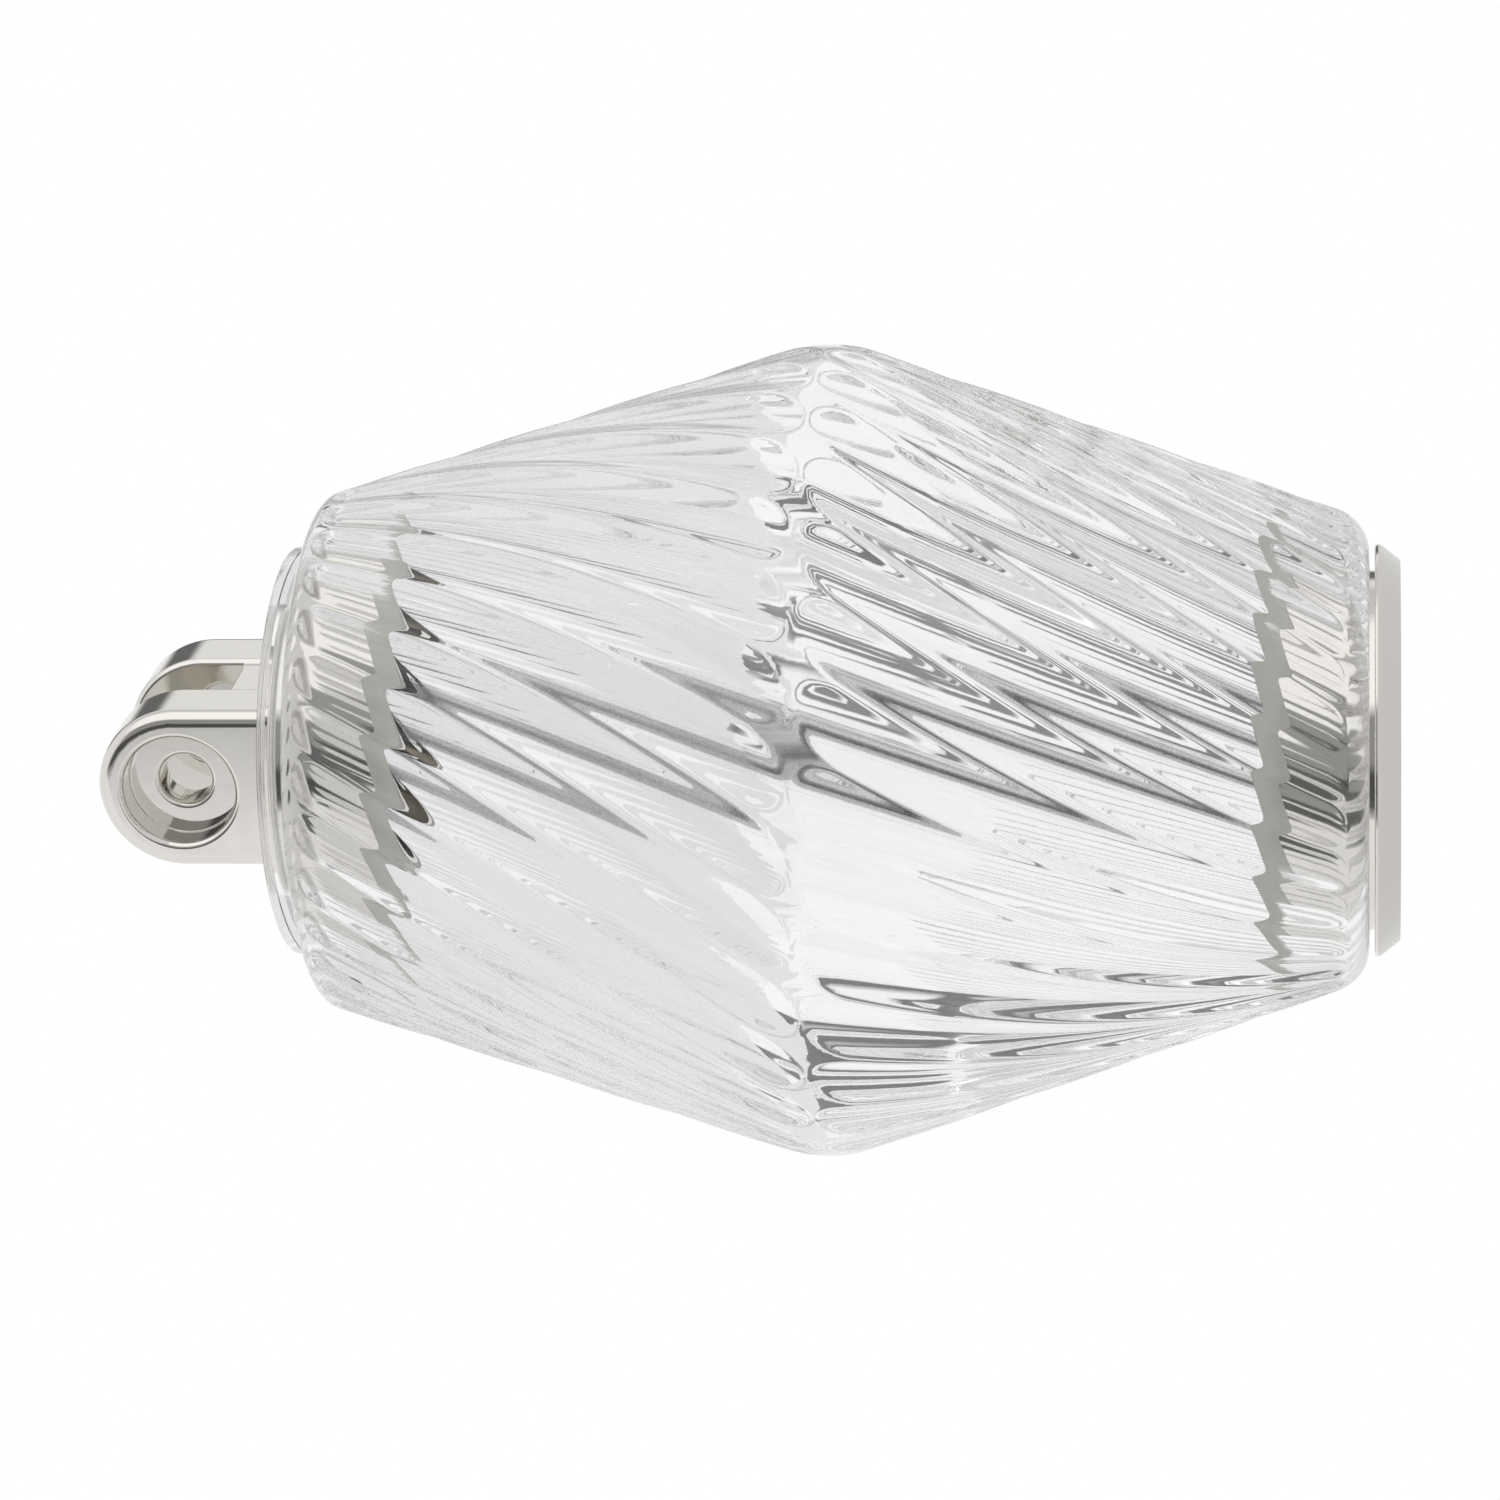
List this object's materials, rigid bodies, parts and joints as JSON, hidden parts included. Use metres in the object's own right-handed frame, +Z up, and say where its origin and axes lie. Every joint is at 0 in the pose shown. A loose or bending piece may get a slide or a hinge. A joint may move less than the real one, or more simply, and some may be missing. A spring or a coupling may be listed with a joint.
{
  "type": "glass drop ornament",
  "caption": "Faceted double-cone glass drop with twisted flutes, hung from a polished metal clevis fork that swivels, with a clear collar and a bevelled end disc.",
  "frame": {"origin": "centre of the fork's pin bore, midway between its two ears", "axes": "+Z up along the drop's long axis towards the fork's tip, +Y along the pin bore"},
  "size_m": [0.1002, 0.1002, 0.1596],
  "materials": {
    "polished_nickel": "polished nickel plate",
    "plain_steel": "turned bright steel",
    "clear_glass": "clear moulded glass",
    "clear_acrylic": "clear polished acrylic",
    "pale_silicone": "matt pale silicone",
    "nylon": "natural nylon"
  },
  "bodies": {
    "hanger": {"hanger_fork": "polished_nickel"},
    "drop": {"swivel_screw": "plain_steel", "swivel_washer": "nylon", "clear_collar": "clear_acrylic", "collar_nut": "plain_steel", "glass_body": "clear_glass", "upper_plug": "polished_nickel", "upper_seal_ring": "pale_silicone", "spacer_tube": "clear_acrylic", "tie_rod": "plain_steel", "lower_plug": "polished_nickel", "lower_seal_ring": "pale_silicone", "rod_washer": "plain_steel", "rod_nut": "plain_steel", "end_disc": "polished_nickel"}
  },
  "joints": [
    {"name": "fork_swivel", "type": "hinge", "parent": "hanger", "child": "drop", "pos_m": [0, 0, -0.015], "axis": [0, 0, 1], "continuous": true}
  ]
}
